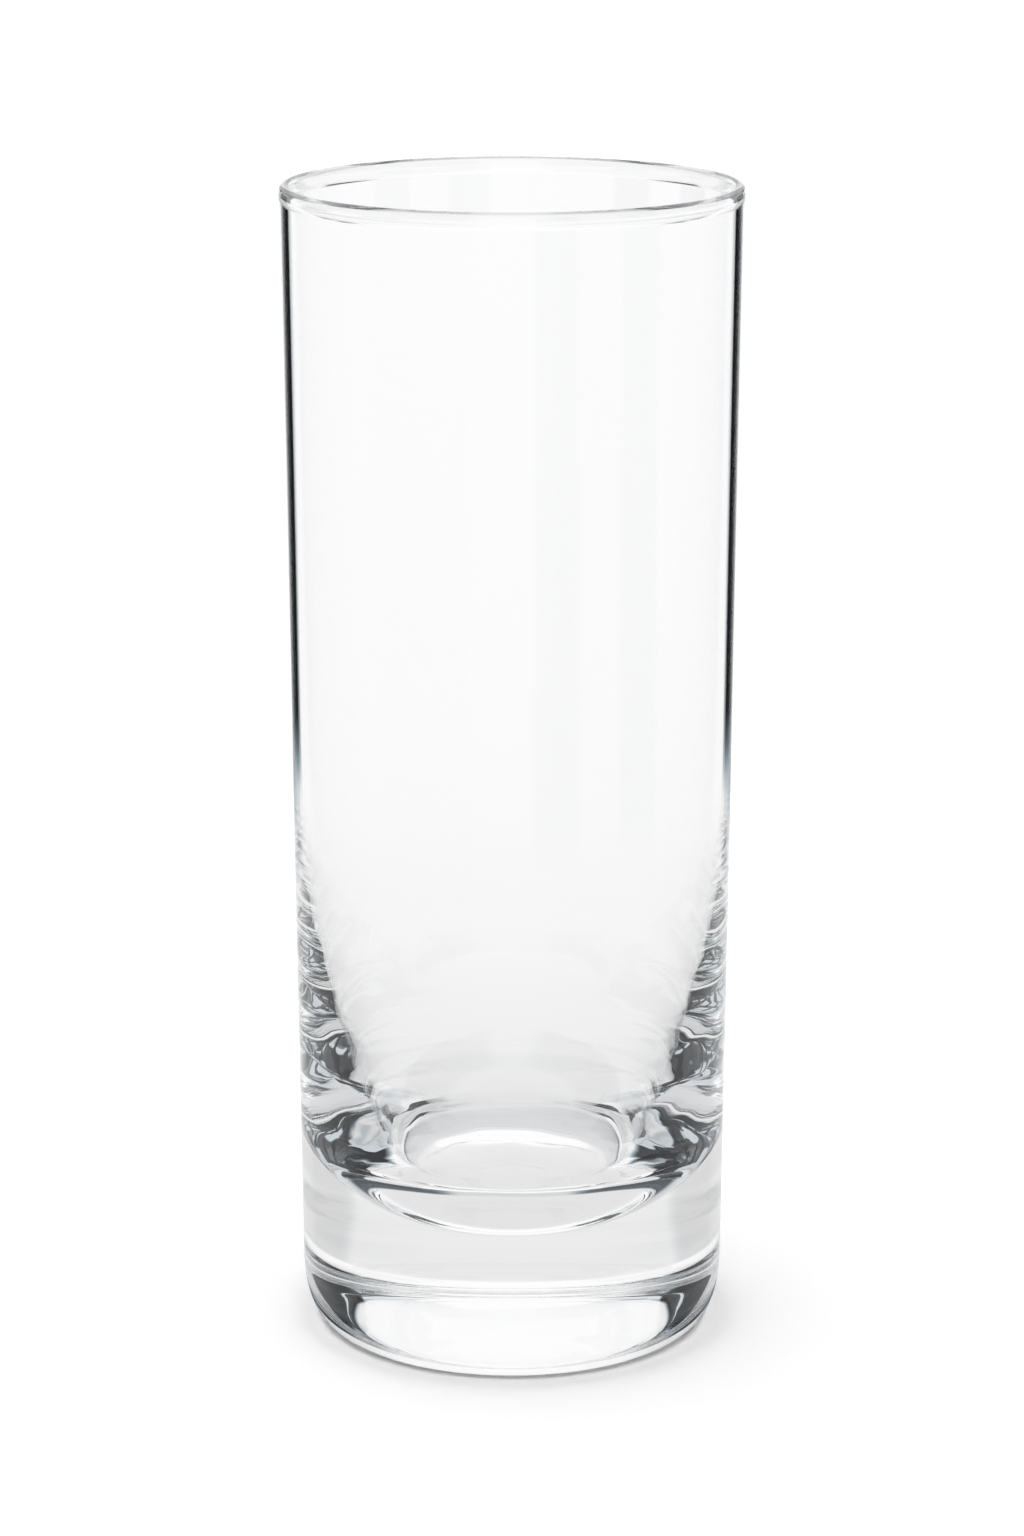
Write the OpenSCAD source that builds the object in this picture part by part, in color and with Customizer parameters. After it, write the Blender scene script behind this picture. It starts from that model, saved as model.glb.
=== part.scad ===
// A collins glass: a tall, nearly straight tumbler in one piece of clear glass, with a beaded rim
// and a thick base. It stands on +Z, and the origin is the centre of the circle it stands on.
// All sizes are in millimetres.

/* [Outside] */
// Height from the table to the top of the rim
glass_h = 164.6; // [140:0.1:200]
// Outside diameter of the wall just under the rim bead
rim_d = 64.0; // [58:0.1:80]
// Outside diameter of the wall where the heel starts to curve in
base_d = 60.7; // [52:0.1:72]
// Height of the curved heel
heel_h = 9.0; // [5:0.1:12]
// Outside diameter of the ring that the glass stands on
foot_d = 53.0; // [48:0.1:56]
// Width of the flat ring that the glass stands on
foot_w = 1.0; // [0.5:0.1:6]
// Rise of the hollow under the base, at its centre
punt_h = 0.4; // [0.2:0.1:4]

/* [Rim] */
// Height of the fire-polished bead
bead_h = 2.76; // [2:0.01:4]
// How far the bead stands out past the wall
bead_out = 0.22; // [0.1:0.01:0.4]
// How far the bead stands in past the wall
bead_in = 0.39; // [0.1:0.01:0.6]

/* [Well] */
// Thickness of the wall under the rim
wall_t = 1.15; // [0.9:0.01:1.6]
// Thickness of the glass under the middle of the well
base_t = 16.6; // [8:0.1:24]
// Diameter of the flat in the middle of the well
well_flat_d = 8.4; // [2:0.1:20]
// Height of the rounded corner of the well, as half the height of its ellipse
bowl_h = 20.0; // [15:0.1:26]
// Thickness of the wall where the rounded corner meets it
bowl_wall_t = 7.9; // [4:0.1:9]
// Height over which the wall thins from the rounded corner up to the thin wall
thinning_h = 56.6; // [40:0.1:75]
// Angle on the ellipse where the wall takes over from the rounded corner
bowl_end_angle = 18.5; // [5:0.1:25]

/* [Hidden] */
$fn = 128;

// Points along each curve of the outline
punt_steps = 12;
heel_steps = 14;
bead_steps = 12;
thinning_steps = 24;
bowl_steps = 24;

rim_r = rim_d / 2;
base_r = base_d / 2;
foot_r = foot_d / 2;
foot_inner_r = foot_r - foot_w;
well_flat_r = well_flat_d / 2;

// The bead is an ellipse that overlaps the top of the wall
bead_half_w = (bead_in + wall_t + bead_out) / 2;
bead_half_h = bead_h / 2;
bead_centre_r = rim_r + bead_out - bead_half_w;
bead_centre_z = glass_h - bead_half_h;
bead_start_angle = -acos((bead_half_w - bead_out) / bead_half_w);
bead_end_angle = 180 + acos((bead_half_w - bead_in) / bead_half_w);
wall_top_z = bead_centre_z + bead_half_h * sin(bead_start_angle);

// Outside radius of the straight wall at height z
wall_slope = (rim_r - base_r) / (wall_top_z - heel_h);
function outside_r(z) = base_r + wall_slope * (z - heel_h);

// The corner round the bottom of the well is the lower part of an ellipse, round a flat middle
bowl_centre_z = base_t + bowl_h;
bowl_end_z = bowl_centre_z - bowl_h * sin(bowl_end_angle);
bowl_end_r = outside_r(bowl_end_z) - bowl_wall_t;
bowl_half_w = (bowl_end_r - well_flat_r) / cos(bowl_end_angle);

// Above it the wall thins along a power curve that starts in line with the ellipse
thin_z = bowl_end_z + thinning_h;
bowl_end_slope = bowl_half_w / bowl_h * tan(bowl_end_angle) - wall_slope;
thinning_power = bowl_end_slope * thinning_h / (bowl_wall_t - wall_t);
function added_thickness(share) = (bowl_wall_t - wall_t) * pow(share, thinning_power);

// Underside, from the axis out to the standing ring
punt_points = [
    for (i = [0 : punt_steps])
        let (share = i / punt_steps)
        [foot_inner_r * share, punt_h * (1 - share * share)]
];

// Heel, a quarter of an ellipse from the standing ring up to the wall
heel_points = [
    for (i = [0 : heel_steps])
        let (angle = 90 * i / heel_steps)
        [foot_r + (base_r - foot_r) * sin(angle), heel_h * (1 - cos(angle))]
];

// Rim bead, from the outside of the wall up to the top, then down to the inside
bead_angles = [
    for (i = [0 : bead_steps - 1])
        bead_start_angle + (90 - bead_start_angle) * i / bead_steps,
    for (i = [0 : bead_steps])
        90 + (bead_end_angle - 90) * i / bead_steps
];
bead_points = [
    for (angle = bead_angles)
        [bead_centre_r + bead_half_w * cos(angle), bead_centre_z + bead_half_h * sin(angle)]
];

// Inside of the wall, from the thin part down to the rounded corner
thinning_points = [
    for (i = [0 : thinning_steps])
        let (share = i / thinning_steps)
        let (z = thin_z - thinning_h * share)
        [outside_r(z) - wall_t - added_thickness(share), z]
];

// Rounded corner of the well, down to the flat in its middle
bowl_points = [
    for (i = [1 : bowl_steps])
        let (angle = bowl_end_angle + (90 - bowl_end_angle) * i / bowl_steps)
        [well_flat_r + bowl_half_w * cos(angle), bowl_centre_z - bowl_h * sin(angle)],
    [0, base_t]
];

// The whole glass, turned from one outline
module tumbler() {
    color([0.86, 0.92, 0.94, 0.45])
    rotate_extrude()
    polygon(concat(punt_points, heel_points, bead_points, thinning_points, bowl_points));
}

tumbler();
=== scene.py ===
import math

import bpy
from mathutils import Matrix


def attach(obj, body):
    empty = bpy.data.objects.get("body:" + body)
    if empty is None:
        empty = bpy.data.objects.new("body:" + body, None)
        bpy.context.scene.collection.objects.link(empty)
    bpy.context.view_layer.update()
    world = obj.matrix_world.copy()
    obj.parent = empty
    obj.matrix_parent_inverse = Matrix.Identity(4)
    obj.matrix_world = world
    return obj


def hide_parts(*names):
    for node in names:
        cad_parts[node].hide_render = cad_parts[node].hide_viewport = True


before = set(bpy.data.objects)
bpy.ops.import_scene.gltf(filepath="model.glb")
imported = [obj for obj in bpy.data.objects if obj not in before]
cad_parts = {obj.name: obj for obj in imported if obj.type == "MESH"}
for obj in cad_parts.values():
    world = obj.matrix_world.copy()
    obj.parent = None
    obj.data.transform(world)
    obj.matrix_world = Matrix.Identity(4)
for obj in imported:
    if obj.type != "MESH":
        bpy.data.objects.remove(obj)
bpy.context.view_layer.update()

MM = 0.001
DEGREES = 180 / math.pi
WHITE = (1.0, 1.0, 1.0, 1.0)

# Outside of the glass
GLASS_H = 164.6 * MM
RIM_R = 32.0 * MM
BASE_R = 30.35 * MM
HEEL_H = 9.0 * MM
FOOT_R = 26.5 * MM
FOOT_W = 1.0 * MM
PUNT_H = 0.4 * MM

# Rim bead: its height, and how far it stands out past the wall and in past it
BEAD_H = 2.76 * MM
BEAD_OUT = 0.22 * MM
BEAD_IN = 0.39 * MM

# Well
WALL_T = 1.15 * MM
BASE_T = 16.6 * MM
WELL_FLAT_R = 4.2 * MM
BOWL_H = 20.0 * MM
BOWL_WALL_T = 7.9 * MM
THINNING_H = 56.6 * MM
BOWL_END_ANGLE = math.radians(18.5)

# Points along each curve of the outline, and around the glass
PUNT_STEPS = 24
RING_STEPS = 4
HEEL_STEPS = 32
WALL_STEPS = 40
BEAD_STEPS = 20
THINNING_STEPS = 60
BOWL_STEPS = 60
TURN_STEPS = 256

# Corners sharper than this are shown as edges
SHARP_ANGLE = math.radians(25)

# Surface waves: their length, the height of those inside and of those underneath, the shares of
# level and upright waves, and how fast they fade towards the middle of the well
WAVE_LENGTH = 6.0 * MM
WAVE_OUT = 0.014 * MM
WAVE_UP = 0.012 * MM
WAVE_LEVEL = 0.6
WAVE_UPRIGHT = 0.7
WAVE_FADE = 4

GLASS_IOR = 1.52

# Camera, fitted to the outline of the glass
CAMERA_DISTANCE = 607.9 * MM
CAMERA_HEIGHT = 239.33 * MM
CAMERA_PITCH = 0.254
SENSOR = 36.0
LENS = 103.52

# Below, a turn is in degrees away from the back of the scene, a rise is in degrees above the
# floor, and a pair of values is the start and the end of a soft edge.

# Narrow cards, which draw the dark line down each side of the wall
LINE_AHEAD_FROM = (16.5, 18.5)
LINE_AHEAD_TO = (35.0, 38.0)
LINE_STEP = 45.0
LINE_HALF_WIDTH = (9.0, 13.0)
LINE_RISE = (3.0, 5.0)
LINE_RIGHT_DARK = 0.5
# The back and the left each reach this far to both sides, and the right starts at RIGHT_FROM
SECTOR = 45.0
LEFT_AT = -90.0
RIGHT_FROM = 90.0
# Distances on the floor from which the cards are painted there as dark strips
LINE_BACK = (240.0 * MM, 380.0 * MM)
LINE_LEFT = (1250.0 * MM, 1350.0 * MM)
LINE_RIGHT = (200.0 * MM, 300.0 * MM)

# Dark sides, for light that was reflected inside the glass
SIDE_TURN = (45.0, 52.0)
SIDE_RISE = (40.0, 50.0)
# On the floor the dark sides are painted, from these distances on
SIDE_DISTANCE = (60.0 * MM, 90.0 * MM)
# Behind the camera they are lighter by this much
BEHIND_TURN = (150.0, 170.0)
BEHIND_LIGHT = 0.45
# For light reflected once they start at this rise
ONCE_RISE = (4.0, 8.0)
# For light reflected three or four times they are lighter away from this turn
THREE_AT = 112.0
THREE_HALF_WIDTH = (18.0, 22.0)
THREE_LIGHT = 0.8
# For light reflected five times they are lighter away from this turn
FIVE_AT = 102.0
FIVE_HALF_WIDTH = (13.0, 18.0)
# For light reflected more often they are lighter beside narrow strips
STRIP_STEP = 26.0
STRIP_HALF_WIDTH = (2.5, 4.5)
# From five reflections on they are lighter by this much, up to this rise
MANY_LIGHT = 0.68
MANY_RISE = (13.0, 16.0)

# Colours of the cards, half dark and fully dark, also of the shade painted on the floor
CARD_GREY = (0.34, 0.41, 0.46, 1.0)
CARD_BLACK = (0.007, 0.0085, 0.010, 1.0)

# Light on the floor: a dome overhead, its strength, and how much it leans to the left
DOME_RISE = (42.0, 62.0)
DOME_LIGHT = 3.55
DOME_LEAN = 0.3
FLOOR_HALF = 3.0
FLOOR_WHITE = 0.8
FLOOR_GLOW = 0.03

# How the glass shows the floor: a glow in place of its light, with a painted soft shadow that makes
# it lower close to the glass
SHADE_TOP = 0.985
SHADE_REACH = 7.8 * MM
SHADE_NEAR = 36.0 * MM
# The painted contact shadow, by distance, darker at both sides
CONTACT_FROM = (26.0 * MM, 27.0 * MM)
CONTACT_TO = (31.0 * MM, 36.0 * MM)
CONTACT_FRONT = 0.12
CONTACT_SIDE = 0.75
CONTACT_SIDE_FROM = (32.0, 50.0)
CONTACT_SIDE_TO = (130.0, 150.0)
# The sheen, by distance, and the turn from which it shows the dark sides
SHEEN = 0.17
SHEEN_ROUGHNESS = 0.1
SHEEN_FROM = (34.0 * MM, 38.0 * MM)
SHEEN_TO = (90.0 * MM, 140.0 * MM)
SHEEN_TURN = (36.0, 43.0)

# Bounces of light that the renderer follows
BOUNCES = 128
TRANSMISSION_BOUNCES = 64

# The bead is an ellipse that overlaps the top of the wall
BEAD_HALF_W = (BEAD_IN + WALL_T + BEAD_OUT) / 2
BEAD_HALF_H = BEAD_H / 2
BEAD_R = RIM_R + BEAD_OUT - BEAD_HALF_W
BEAD_Z = GLASS_H - BEAD_HALF_H
BEAD_START = -math.acos((BEAD_HALF_W - BEAD_OUT) / BEAD_HALF_W)
BEAD_END = math.pi + math.acos((BEAD_HALF_W - BEAD_IN) / BEAD_HALF_W)
WALL_TOP = BEAD_Z + BEAD_HALF_H * math.sin(BEAD_START)
WALL_SLOPE = (RIM_R - BASE_R) / (WALL_TOP - HEEL_H)


def outside(z):
    """Outside radius of the straight wall at a height."""
    return BASE_R + WALL_SLOPE * (z - HEEL_H)


# The corner round the bottom of the well is the lower part of an ellipse, round a flat middle
BOWL_Z = BASE_T + BOWL_H
BOWL_END_Z = BOWL_Z - BOWL_H * math.sin(BOWL_END_ANGLE)
BOWL_END_R = outside(BOWL_END_Z) - BOWL_WALL_T
BOWL_HALF_W = (BOWL_END_R - WELL_FLAT_R) / math.cos(BOWL_END_ANGLE)

# Above it the wall thins along a power curve that starts in line with the ellipse
THIN_Z = BOWL_END_Z + THINNING_H
BOWL_END_SLOPE = BOWL_HALF_W / BOWL_H * math.tan(BOWL_END_ANGLE) - WALL_SLOPE
THINNING_POWER = BOWL_END_SLOPE * THINNING_H / (BOWL_WALL_T - WALL_T)


def spread(start, end, steps):
    """Values from start to end, in equal steps, without the start."""
    return [start + (end - start) * i / steps for i in range(1, steps + 1)]


def outer_points():
    """Points from the middle of the underside round to the top of the straight wall.

    Each is a radius, a height, and how much of the surface waves it has, out and up.
    """
    ring_r = FOOT_R - FOOT_W
    points = [(0.0, PUNT_H, 0.0, 0.0)]
    for share in spread(0, 1, PUNT_STEPS):
        wave = math.sin(math.pi * share)
        points.append((ring_r * share, PUNT_H * (1 - share * share), 0.0, wave))
    for r in spread(ring_r, FOOT_R, RING_STEPS):
        points.append((r, 0.0, 0.0, 0.0))
    for a in spread(0, math.pi / 2, HEEL_STEPS):
        r = FOOT_R + (BASE_R - FOOT_R) * math.sin(a)
        points.append((r, HEEL_H * (1 - math.cos(a)), 0.0, 0.0))
    for z in spread(HEEL_H, WALL_TOP, WALL_STEPS):
        points.append((outside(z), z, 0.0, 0.0))
    return points


def bead_points():
    """Points from the outside of the wall over the rim to its inside."""
    points = []
    for a in spread(BEAD_START, math.pi / 2, BEAD_STEPS) + spread(math.pi / 2, BEAD_END, BEAD_STEPS):
        r = BEAD_R + BEAD_HALF_W * math.cos(a)
        points.append((r, BEAD_Z + BEAD_HALF_H * math.sin(a), 0.0, 0.0))
    return points


def inner_points(top_z):
    """Points down the inside of the wall to the middle of the well."""
    points = []
    for z in spread(top_z, THIN_Z, WALL_STEPS):
        points.append((outside(z) - WALL_T, z, 0.0, 0.0))
    for share in spread(0, 1, THINNING_STEPS):
        z = THIN_Z - THINNING_H * share
        added_t = (BOWL_WALL_T - WALL_T) * share ** THINNING_POWER
        points.append((outside(z) - WALL_T - added_t, z, share, 0.0))
    for a in spread(BOWL_END_ANGLE, math.pi / 2, BOWL_STEPS):
        r = WELL_FLAT_R + BOWL_HALF_W * math.cos(a)
        wave = max(0.0, math.cos(a)) ** WAVE_FADE
        points.append((r, BOWL_Z - BOWL_H * math.sin(a), wave, 0.0))
    points.append((0.0, BASE_T, 0.0, 0.0))
    return points


def outline():
    """Points from the middle of the underside round to the middle of the well."""
    bead = bead_points()
    bead_end_z = bead[-1][1]
    return outer_points() + bead + inner_points(bead_end_z)


def wave_out(z, a):
    """Slight waves in the inside of the wall, left by pressing it, at a height and an angle.

    The numbers are chance ones, so that no two places look alike.
    """
    rise = 2 * math.pi * z / WAVE_LENGTH
    level = math.sin(rise + 1.7 * math.sin(2 * a + 0.6) + 0.9 * math.sin(5 * a))
    level += 0.6 * math.sin(1.62 * rise - 2.1 * math.sin(3 * a + 1.9) + 0.4)
    upright = math.sin(9 * a + 1.2 * math.sin(0.6 * rise))
    upright += 0.6 * math.sin(16 * a - 1.5 * math.sin(0.45 * rise + 1.0))
    return WAVE_OUT * (WAVE_LEVEL * level + WAVE_UPRIGHT * upright)


def wave_up(r, a):
    """Slight waves in the underside, always up, at a radius and an angle, with chance numbers."""
    x = 2 * math.pi * r * math.cos(a) / WAVE_LENGTH
    y = 2 * math.pi * r * math.sin(a) / WAVE_LENGTH
    one = math.sin(0.8 * x + 1.3 * math.sin(0.5 * y))
    two = math.sin(1.1 * y + 1.1 * math.sin(0.6 * x + 0.7))
    return WAVE_UP * (2 + one + two)


def turned(name, points, steps):
    """A closed mesh: points turned about the Z axis, with the first and last of them on it."""
    rings = points[1:-1]
    verts = [(0.0, 0.0, points[0][1])]
    for r, z, out, up in rings:
        for i in range(steps):
            a = 2 * math.pi * i / steps
            wave_r = r + out * wave_out(z, a)
            verts.append((wave_r * math.cos(a), wave_r * math.sin(a), z + up * wave_up(r, a)))
    verts.append((0.0, 0.0, points[-1][1]))
    last = len(verts) - 1
    top = last - steps
    faces = []
    for i in range(steps):
        j = (i + 1) % steps
        faces.append((0, 1 + j, 1 + i))
        for k in range(len(rings) - 1):
            low = 1 + k * steps
            high = low + steps
            faces.append((low + i, low + j, high + j, high + i))
        faces.append((top + i, top + j, last))
    mesh = bpy.data.meshes.new(name)
    mesh.from_pydata(verts, [], faces)
    mesh.validate()
    mesh.shade_smooth()
    mesh.set_sharp_from_angle(angle=SHARP_ANGLE)
    piece = bpy.data.objects.new(name, mesh)
    bpy.context.collection.objects.link(piece)
    return piece


def clear_glass():
    mat = bpy.data.materials.new("clear_glass")
    mat.use_nodes = True
    shader = mat.node_tree.nodes["Principled BSDF"]
    shader.inputs["Base Color"].default_value = WHITE
    shader.inputs["Roughness"].default_value = 0.0
    shader.inputs["IOR"].default_value = GLASS_IOR
    shader.inputs["Transmission Weight"].default_value = 1.0
    return mat


def math_node(tree, operation, a, b=None):
    node = tree.nodes.new("ShaderNodeMath")
    node.operation = operation
    for socket, value in zip(node.inputs, (a, b)):
        if isinstance(value, (int, float)):
            socket.default_value = value
        elif value is not None:
            tree.links.new(value, socket)
    return node.outputs[0]


def both(tree, *values):
    """All the values multiplied."""
    out = values[0]
    for value in values[1:]:
        out = math_node(tree, "MULTIPLY", out, value)
    return out


def most(tree, *values):
    """The largest of the values."""
    out = values[0]
    for value in values[1:]:
        out = math_node(tree, "MAXIMUM", out, value)
    return out


def one_minus(tree, value):
    return math_node(tree, "SUBTRACT", 1.0, value)


def apart(tree, value, centre):
    """How far a value is from a centre."""
    return math_node(tree, "ABSOLUTE", math_node(tree, "SUBTRACT", value, centre))


def at_least(tree, count, number):
    """1 where a whole count is the number or more, otherwise 0."""
    return math_node(tree, "GREATER_THAN", count, number - 0.5)


def at_most(tree, count, number):
    """1 where a whole count is the number or less, otherwise 0."""
    return math_node(tree, "LESS_THAN", count, number + 0.5)


def rising(tree, value, edge):
    """0 below a soft edge, 1 above it."""
    node = tree.nodes.new("ShaderNodeMapRange")
    node.interpolation_type = "SMOOTHSTEP"
    tree.links.new(value, node.inputs["Value"])
    node.inputs["From Min"].default_value = edge[0]
    node.inputs["From Max"].default_value = edge[1]
    return node.outputs["Result"]


def falling(tree, value, edge):
    """1 below a soft edge, 0 above it."""
    return one_minus(tree, rising(tree, value, edge))


def parts_of(tree, vector):
    """The X, Y and Z of a vector."""
    split = tree.nodes.new("ShaderNodeSeparateXYZ")
    tree.links.new(vector, split.inputs[0])
    return split.outputs


def turn_of(tree, parts):
    """Degrees away from +Y, to the right."""
    turn = math_node(tree, "ARCTAN2", parts["X"], parts["Y"])
    return math_node(tree, "MULTIPLY", turn, DEGREES)


def off_middle(tree, turn, step):
    """How far a turn is from the middle of the step that it falls in."""
    within = math_node(tree, "MODULO", math_node(tree, "ADD", turn, 360.0), step)
    return apart(tree, within, step / 2)


def mixed(tree, share, a, b):
    """Colour a where share is 0, colour b where it is 1."""
    node = tree.nodes.new("ShaderNodeMix")
    node.data_type = "RGBA"
    tree.links.new(share, node.inputs[0])
    for socket, value in ((node.inputs[6], a), (node.inputs[7], b)):
        if isinstance(value, tuple):
            socket.default_value = value
        else:
            tree.links.new(value, socket)
    return node.outputs[2]


def added(tree, a, b):
    """Two shaders together."""
    node = tree.nodes.new("ShaderNodeAddShader")
    tree.links.new(a, node.inputs[0])
    tree.links.new(b, node.inputs[1])
    return node.outputs[0]


def card_colour(tree, dark):
    """Studio white, going through a cool grey to black as dark goes from 0 to 1."""
    node = tree.nodes.new("ShaderNodeValToRGB")
    tree.links.new(dark, node.inputs["Fac"])
    ramp = node.color_ramp
    ramp.elements[0].position = 0.0
    ramp.elements[0].color = WHITE
    ramp.elements[1].position = 1.0
    ramp.elements[1].color = CARD_BLACK
    ramp.elements.new(0.5).color = CARD_GREY
    return node.outputs["Color"]


def line_cards(tree, turn, light, distance=None):
    """Dark upright strips that draw the line down each side of the wall.

    Light has been turned inside the wall there, so only light that was reflected sees them. In the
    sky they stand at the back and at the left. On the floor they are painted as dark strips, which
    start at a distance from the glass, and there are half dark ones at the right too.
    """
    passed = light.outputs["Transmission Depth"]
    inside = both(tree, at_most(tree, passed, 2), light.outputs["Is Transmission Ray"])
    reflected = both(
        tree,
        at_least(tree, light.outputs["Glossy Depth"], 1),
        most(tree, inside, at_most(tree, passed, 0)),
    )
    away = math_node(tree, "ABSOLUTE", turn)
    ahead = both(tree, rising(tree, away, LINE_AHEAD_FROM), falling(tree, away, LINE_AHEAD_TO))
    around = both(
        tree,
        falling(tree, off_middle(tree, turn, LINE_STEP), LINE_HALF_WIDTH),
        math_node(tree, "GREATER_THAN", away, SECTOR),
    )
    strips = both(tree, most(tree, ahead, around), reflected)
    back = math_node(tree, "LESS_THAN", away, SECTOR)
    left = math_node(tree, "LESS_THAN", apart(tree, turn, LEFT_AT), SECTOR)
    if distance is None:
        return both(tree, strips, most(tree, back, left))
    back = both(tree, back, rising(tree, distance, LINE_BACK))
    left = both(tree, left, rising(tree, distance, LINE_LEFT))
    right = both(
        tree,
        math_node(tree, "GREATER_THAN", turn, RIGHT_FROM),
        inside,
        rising(tree, distance, LINE_RIGHT),
        LINE_RIGHT_DARK,
    )
    return both(tree, strips, most(tree, back, left, right))


def light_for_many(tree, turn, depth):
    """Where the dark sides are lighter for light that was reflected five times or more."""
    five = at_most(tree, depth, 5)
    away = math_node(tree, "ABSOLUTE", turn)
    beside_card = rising(tree, apart(tree, away, FIVE_AT), FIVE_HALF_WIDTH)
    beside_strip = rising(tree, off_middle(tree, turn, STRIP_STEP), STRIP_HALF_WIDTH)
    return math_node(
        tree,
        "ADD",
        both(tree, five, beside_card),
        both(tree, one_minus(tree, five), beside_strip),
    )


def dark_sides(tree, turn, light, rise=None):
    """Dark to the left and right, half dark behind the camera, for light reflected inside the glass.

    How dark they are depends on how often the light was reflected. Light that was reflected once
    sees them only in the sky, and not behind.
    """
    away = math_node(tree, "ABSOLUTE", turn)
    depth = light.outputs["Glossy Depth"]
    side = rising(tree, away, SIDE_TURN)
    behind = rising(tree, away, BEHIND_TURN)
    twice = at_least(tree, depth, 2)
    many = at_least(tree, depth, 5)
    few = one_minus(tree, many)
    off_three = apart(tree, away, THREE_AT)
    beyond = both(tree, few, at_least(tree, depth, 3), rising(tree, off_three, THREE_HALF_WIDTH))
    few_light = most(tree, both(tree, few, behind, BEHIND_LIGHT), both(tree, beyond, THREE_LIGHT))
    many_light = both(tree, many, light_for_many(tree, turn, depth), MANY_LIGHT)
    if rise is not None:
        many_light = both(tree, many_light, falling(tree, rise, MANY_RISE))
    lighter = math_node(tree, "ADD", few_light, many_light)
    dark = both(tree, side, twice, one_minus(tree, lighter))
    if rise is None:
        return dark
    once = both(
        tree,
        at_least(tree, depth, 1),
        one_minus(tree, twice),
        side,
        one_minus(tree, behind),
        rising(tree, rise, ONCE_RISE),
    )
    return most(tree, dark, once)


def sky_cards(tree, turn, rise, light):
    """How dark the sky is for light that comes from the glass."""
    below = falling(tree, rise, SIDE_RISE)
    line = both(tree, line_cards(tree, turn, light), falling(tree, rise, LINE_RISE))
    side = both(tree, dark_sides(tree, turn, light, rise), below)
    # light that left the glass and met the sheen of the floor
    sheen = both(
        tree,
        one_minus(tree, light.outputs["Is Transmission Ray"]),
        at_least(tree, light.outputs["Ray Depth"], 3),
        rising(tree, math_node(tree, "ABSOLUTE", turn), SHEEN_TURN),
        below,
    )
    return most(tree, line, side, sheen)


def dome(tree, to_right, rise, light):
    """The floor's own light, which doesn't come by way of reflections inside the glass."""
    inner = both(
        tree,
        at_least(tree, light.outputs["Glossy Depth"], 1),
        light.outputs["Is Transmission Ray"],
    )
    lean = math_node(tree, "MULTIPLY", to_right, DOME_LEAN)
    overhead = rising(tree, rise, DOME_RISE)
    return both(tree, overhead, DOME_LIGHT, one_minus(tree, lean), one_minus(tree, inner))


def studio_world():
    world = bpy.data.worlds.new("studio")
    bpy.context.scene.world = world
    world.use_nodes = True
    world.cycles.sampling_method = "NONE"
    tree = world.node_tree
    place = tree.nodes.new("ShaderNodeTexCoord")
    light = tree.nodes.new("ShaderNodeLightPath")
    parts = parts_of(tree, place.outputs["Generated"])
    turn = turn_of(tree, parts)
    rise = math_node(tree, "MULTIPLY", math_node(tree, "ARCSINE", parts["Z"]), DEGREES)
    for_glass = card_colour(tree, sky_cards(tree, turn, rise, light))
    for_floor = dome(tree, parts["X"], rise, light)
    is_floor = at_least(tree, light.outputs["Diffuse Depth"], 1)
    colour = mixed(tree, is_floor, for_glass, for_floor)
    colour = mixed(tree, light.outputs["Is Camera Ray"], colour, WHITE)
    background = tree.nodes["Background"]
    tree.links.new(colour, background.inputs["Color"])
    background.inputs["Strength"].default_value = 1.0


def matt_floor(tree):
    """The floor itself."""
    matt = tree.nodes.new("ShaderNodeBsdfDiffuse")
    matt.inputs["Color"].default_value = (FLOOR_WHITE, FLOOR_WHITE, FLOOR_WHITE, 1.0)
    glow = tree.nodes.new("ShaderNodeEmission")
    glow.inputs["Strength"].default_value = FLOOR_GLOW
    return added(tree, matt.outputs[0], glow.outputs[0])


def contact_shadow(tree, away, distance, light):
    """How dark the painted contact shadow is, darker at the sides for light reflected inside the
    glass.
    """
    aside = both(
        tree,
        rising(tree, away, CONTACT_SIDE_FROM),
        falling(tree, away, CONTACT_SIDE_TO),
        at_least(tree, light.outputs["Glossy Depth"], 1),
    )
    return both(
        tree,
        math_node(tree, "ADD", both(tree, aside, CONTACT_SIDE), CONTACT_FRONT),
        rising(tree, distance, CONTACT_FROM),
        falling(tree, distance, CONTACT_TO),
    )


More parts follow.
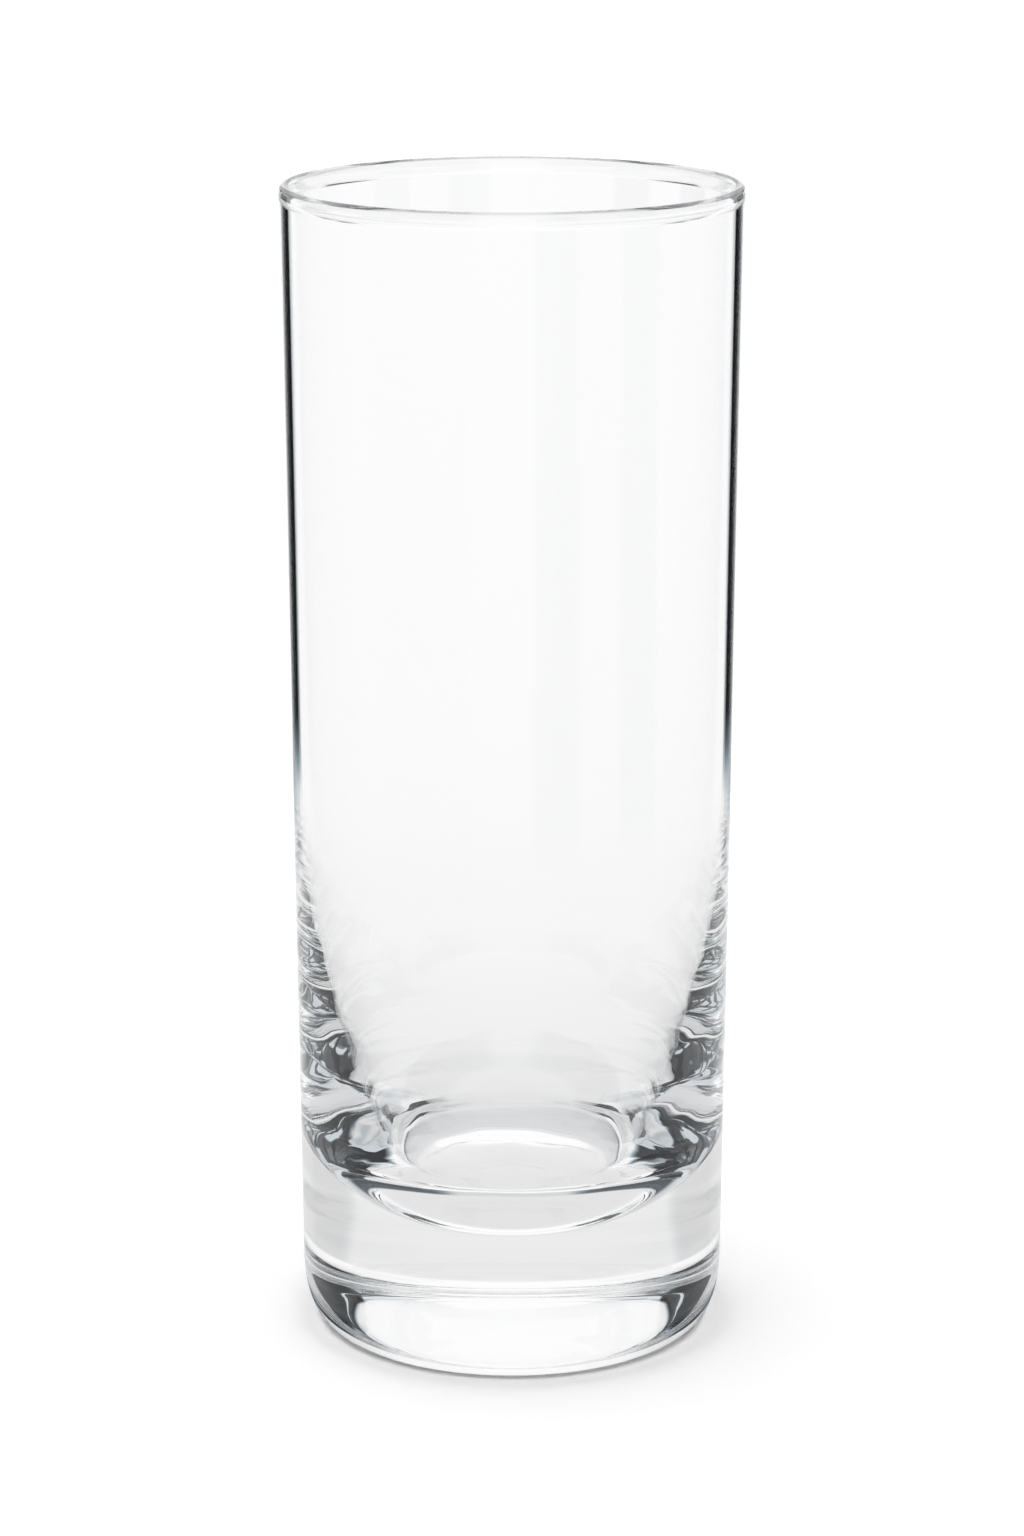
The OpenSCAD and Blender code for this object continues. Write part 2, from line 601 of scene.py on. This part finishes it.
def shown_floor(tree, light):
    """The floor as the glass shows it: a glow with painted shade, greyer close to the glass, with
    the cards painted further out.
    """
    geometry = tree.nodes.new("ShaderNodeNewGeometry")
    place = geometry.outputs["Position"]
    turn = turn_of(tree, parts_of(tree, place))
    length = tree.nodes.new("ShaderNodeVectorMath")
    length.operation = "LENGTH"
    tree.links.new(place, length.inputs[0])
    distance = length.outputs["Value"]
    # painted on the floor: dark strips of the cards, the dark sides and the contact shadow
    dark = most(
        tree,
        line_cards(tree, turn, light, distance),
        both(tree, dark_sides(tree, turn, light), rising(tree, distance, SIDE_DISTANCE)),
        contact_shadow(tree, math_node(tree, "ABSOLUTE", turn), distance, light),
    )
    # the sheen near the glass takes its share of the level, and shows the dark sides
    sheen = both(tree, rising(tree, distance, SHEEN_FROM), falling(tree, distance, SHEEN_TO), SHEEN)
    sheen_colour = tree.nodes.new("ShaderNodeCombineColor")
    for socket in sheen_colour.inputs[:3]:
        tree.links.new(sheen, socket)
    mirror = tree.nodes.new("ShaderNodeBsdfGlossy")
    mirror.inputs["Roughness"].default_value = SHEEN_ROUGHNESS
    tree.links.new(sheen_colour.outputs[0], mirror.inputs["Color"])
    # painted soft shadow: the glow's level drops close to the glass
    shade = math_node(tree, "DIVIDE", SHADE_REACH, most(tree, distance, SHADE_NEAR))
    level = math_node(tree, "SUBTRACT", math_node(tree, "SUBTRACT", SHADE_TOP, shade), sheen)
    seen = tree.nodes.new("ShaderNodeEmission")
    tree.links.new(card_colour(tree, dark), seen.inputs["Color"])
    tree.links.new(level, seen.inputs["Strength"])
    return added(tree, seen.outputs[0], mirror.outputs[0])


def floor():
    h = FLOOR_HALF
    mesh = bpy.data.meshes.new("floor")
    mesh.from_pydata([(-h, -h, 0), (h, -h, 0), (h, h, 0), (-h, h, 0)], [], [(0, 1, 2, 3)])
    obj = bpy.data.objects.new("floor", mesh)
    bpy.context.collection.objects.link(obj)
    mat = bpy.data.materials.new("floor")
    mat.use_nodes = True
    tree = mat.node_tree
    tree.nodes.clear()
    light = tree.nodes.new("ShaderNodeLightPath")
    in_glass = both(
        tree,
        most(tree, light.outputs["Is Glossy Ray"], light.outputs["Is Transmission Ray"]),
        at_most(tree, light.outputs["Diffuse Depth"], 0),
    )
    mix = tree.nodes.new("ShaderNodeMixShader")
    tree.links.new(in_glass, mix.inputs[0])
    tree.links.new(matt_floor(tree), mix.inputs[1])
    tree.links.new(shown_floor(tree, light), mix.inputs[2])
    out = tree.nodes.new("ShaderNodeOutputMaterial")
    tree.links.new(mix.outputs[0], out.inputs["Surface"])
    mesh.materials.append(mat)


def camera():
    data = bpy.data.cameras.new("camera")
    data.sensor_width = SENSOR
    data.lens = LENS
    obj = bpy.data.objects.new("camera", data)
    obj.location = (0.0, -CAMERA_DISTANCE, CAMERA_HEIGHT)
    obj.rotation_euler = (math.pi / 2 - CAMERA_PITCH, 0.0, 0.0)
    bpy.context.collection.objects.link(obj)
    bpy.context.scene.camera = obj


def settings():
    scene = bpy.context.scene
    scene.view_settings.view_transform = "Standard"
    scene.cycles.max_bounces = BOUNCES
    scene.cycles.glossy_bounces = BOUNCES
    scene.cycles.transmission_bounces = TRANSMISSION_BOUNCES
    scene.cycles.blur_glossy = 0.0


glass = turned("glass_body", outline(), TURN_STEPS)
glass.data.materials.append(clear_glass())
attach(glass, "root")
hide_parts("tumbler")

floor()
studio_world()
camera()
settings()
